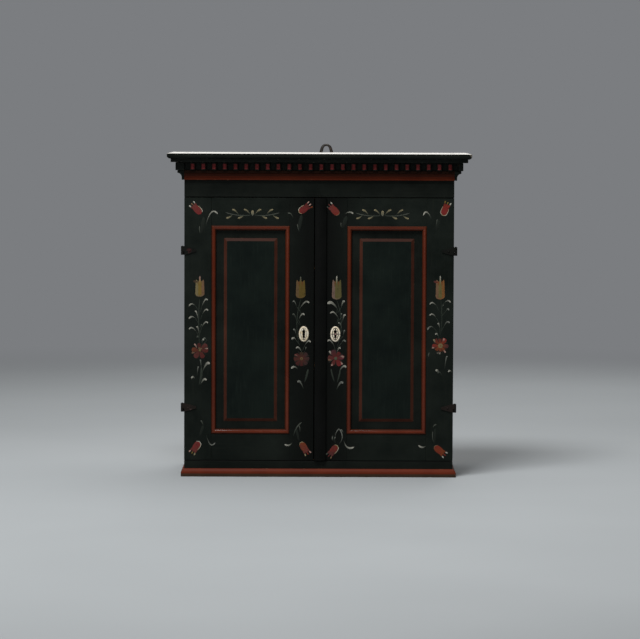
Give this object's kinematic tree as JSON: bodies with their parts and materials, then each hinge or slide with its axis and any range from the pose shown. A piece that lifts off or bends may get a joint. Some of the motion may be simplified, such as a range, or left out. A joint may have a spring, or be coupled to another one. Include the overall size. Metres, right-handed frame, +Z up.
{
  "type": "wall cabinet",
  "caption": "Painted hanging cupboard with paired framed doors, dentil cornice, base moulding, shelves, box lock, inner door bolt and an iron loop to hang it by.",
  "frame": {"origin": "under the middle of the cupboard's outer box, on the surface that its base stands on", "axes": "+Z up, +Y towards the wall that the back lies against, +X to the right as one faces the doors"},
  "size_m": [0.776, 0.343, 0.8523],
  "materials": {
    "green_paint": "pine under old dark green-black oil paint, worn on the edges",
    "red_paint": "pine under old iron-red oil paint, dulled and worn",
    "bare_pine": "unpainted planed pine",
    "wrought_iron": "hand-forged iron, darkened, a little rust",
    "bone": "cream bone plate with turned rings"
  },
  "bodies": {
    "carcase": {"left_side": "green_paint", "right_side": "green_paint", "carcase_bottom": "bare_pine", "lower_shelf": "bare_pine", "upper_shelf": "bare_pine", "back_board_1": "bare_pine", "back_board_2": "bare_pine", "back_board_3": "bare_pine", "bottom_rail": "green_paint", "frieze_board": "green_paint", "carcase_top": "bare_pine", "hanging_loop": "wrought_iron", "crown_front": "green_paint", "crown_left": "green_paint", "crown_right": "green_paint", "dentil_strip_front": "red_paint", "dentil_strip_left": "red_paint", "dentil_strip_right": "red_paint", "cavetto_front": "red_paint", "cavetto_left": "red_paint", "cavetto_right": "red_paint", "base_moulding_front": "red_paint", "base_moulding_left": "red_paint", "base_moulding_right": "red_paint", "left_lower_hinge_strap": "wrought_iron", "left_upper_hinge_strap": "wrought_iron", "right_lower_hinge_strap": "wrought_iron", "right_upper_hinge_strap": "wrought_iron"},
    "left_door": {"left_door_hinge_stile": "green_paint", "left_door_meeting_stile": "green_paint", "left_door_top_rail": "green_paint", "left_door_bottom_rail": "green_paint", "left_door_panel": "green_paint", "left_door_panel_moulding": "red_paint", "left_lower_hinge_leaf": "wrought_iron", "left_upper_hinge_leaf": "wrought_iron", "left_lower_hinge_nail": "wrought_iron", "left_upper_hinge_nail": "wrought_iron", "left_keyhole_plate": "bone", "left_lower_plate_pin": "wrought_iron", "left_upper_plate_pin": "wrought_iron", "lock_keeper": "wrought_iron", "door_bolt_plate": "wrought_iron"},
    "right_door": {"right_door_hinge_stile": "green_paint", "right_door_meeting_stile": "green_paint", "right_door_top_rail": "green_paint", "right_door_bottom_rail": "green_paint", "right_door_panel": "green_paint", "right_door_panel_moulding": "red_paint", "right_lower_hinge_leaf": "wrought_iron", "right_upper_hinge_leaf": "wrought_iron", "right_lower_hinge_nail": "wrought_iron", "right_upper_hinge_nail": "wrought_iron", "right_keyhole_plate": "bone", "right_lower_plate_pin": "wrought_iron", "right_upper_plate_pin": "wrought_iron", "cover_strip": "green_paint", "lock_case": "wrought_iron"},
    "lock_bolt": {"lock_bolt": "wrought_iron"},
    "door_bolt": {"door_bolt": "wrought_iron"}
  },
  "joints": [
    {"name": "left_door_hinge", "type": "hinge", "parent": "carcase", "child": "left_door", "pos_m": [-0.3495, -0.1266, 0.042], "axis": [0, 0, -1], "range_deg": [0, 180]},
    {"name": "right_door_hinge", "type": "hinge", "parent": "carcase", "child": "right_door", "pos_m": [0.3495, -0.1266, 0.042], "axis": [0, 0, 1], "range_deg": [0, 180]},
    {"name": "lock_bolt_slide", "type": "slide", "parent": "right_door", "child": "lock_bolt", "axis": [-1, 0, 0], "range_m": [0, 0.012]},
    {"name": "door_bolt_slide", "type": "slide", "parent": "left_door", "child": "door_bolt", "axis": [0, 0, 1], "range_m": [0, 0.012]}
  ]
}
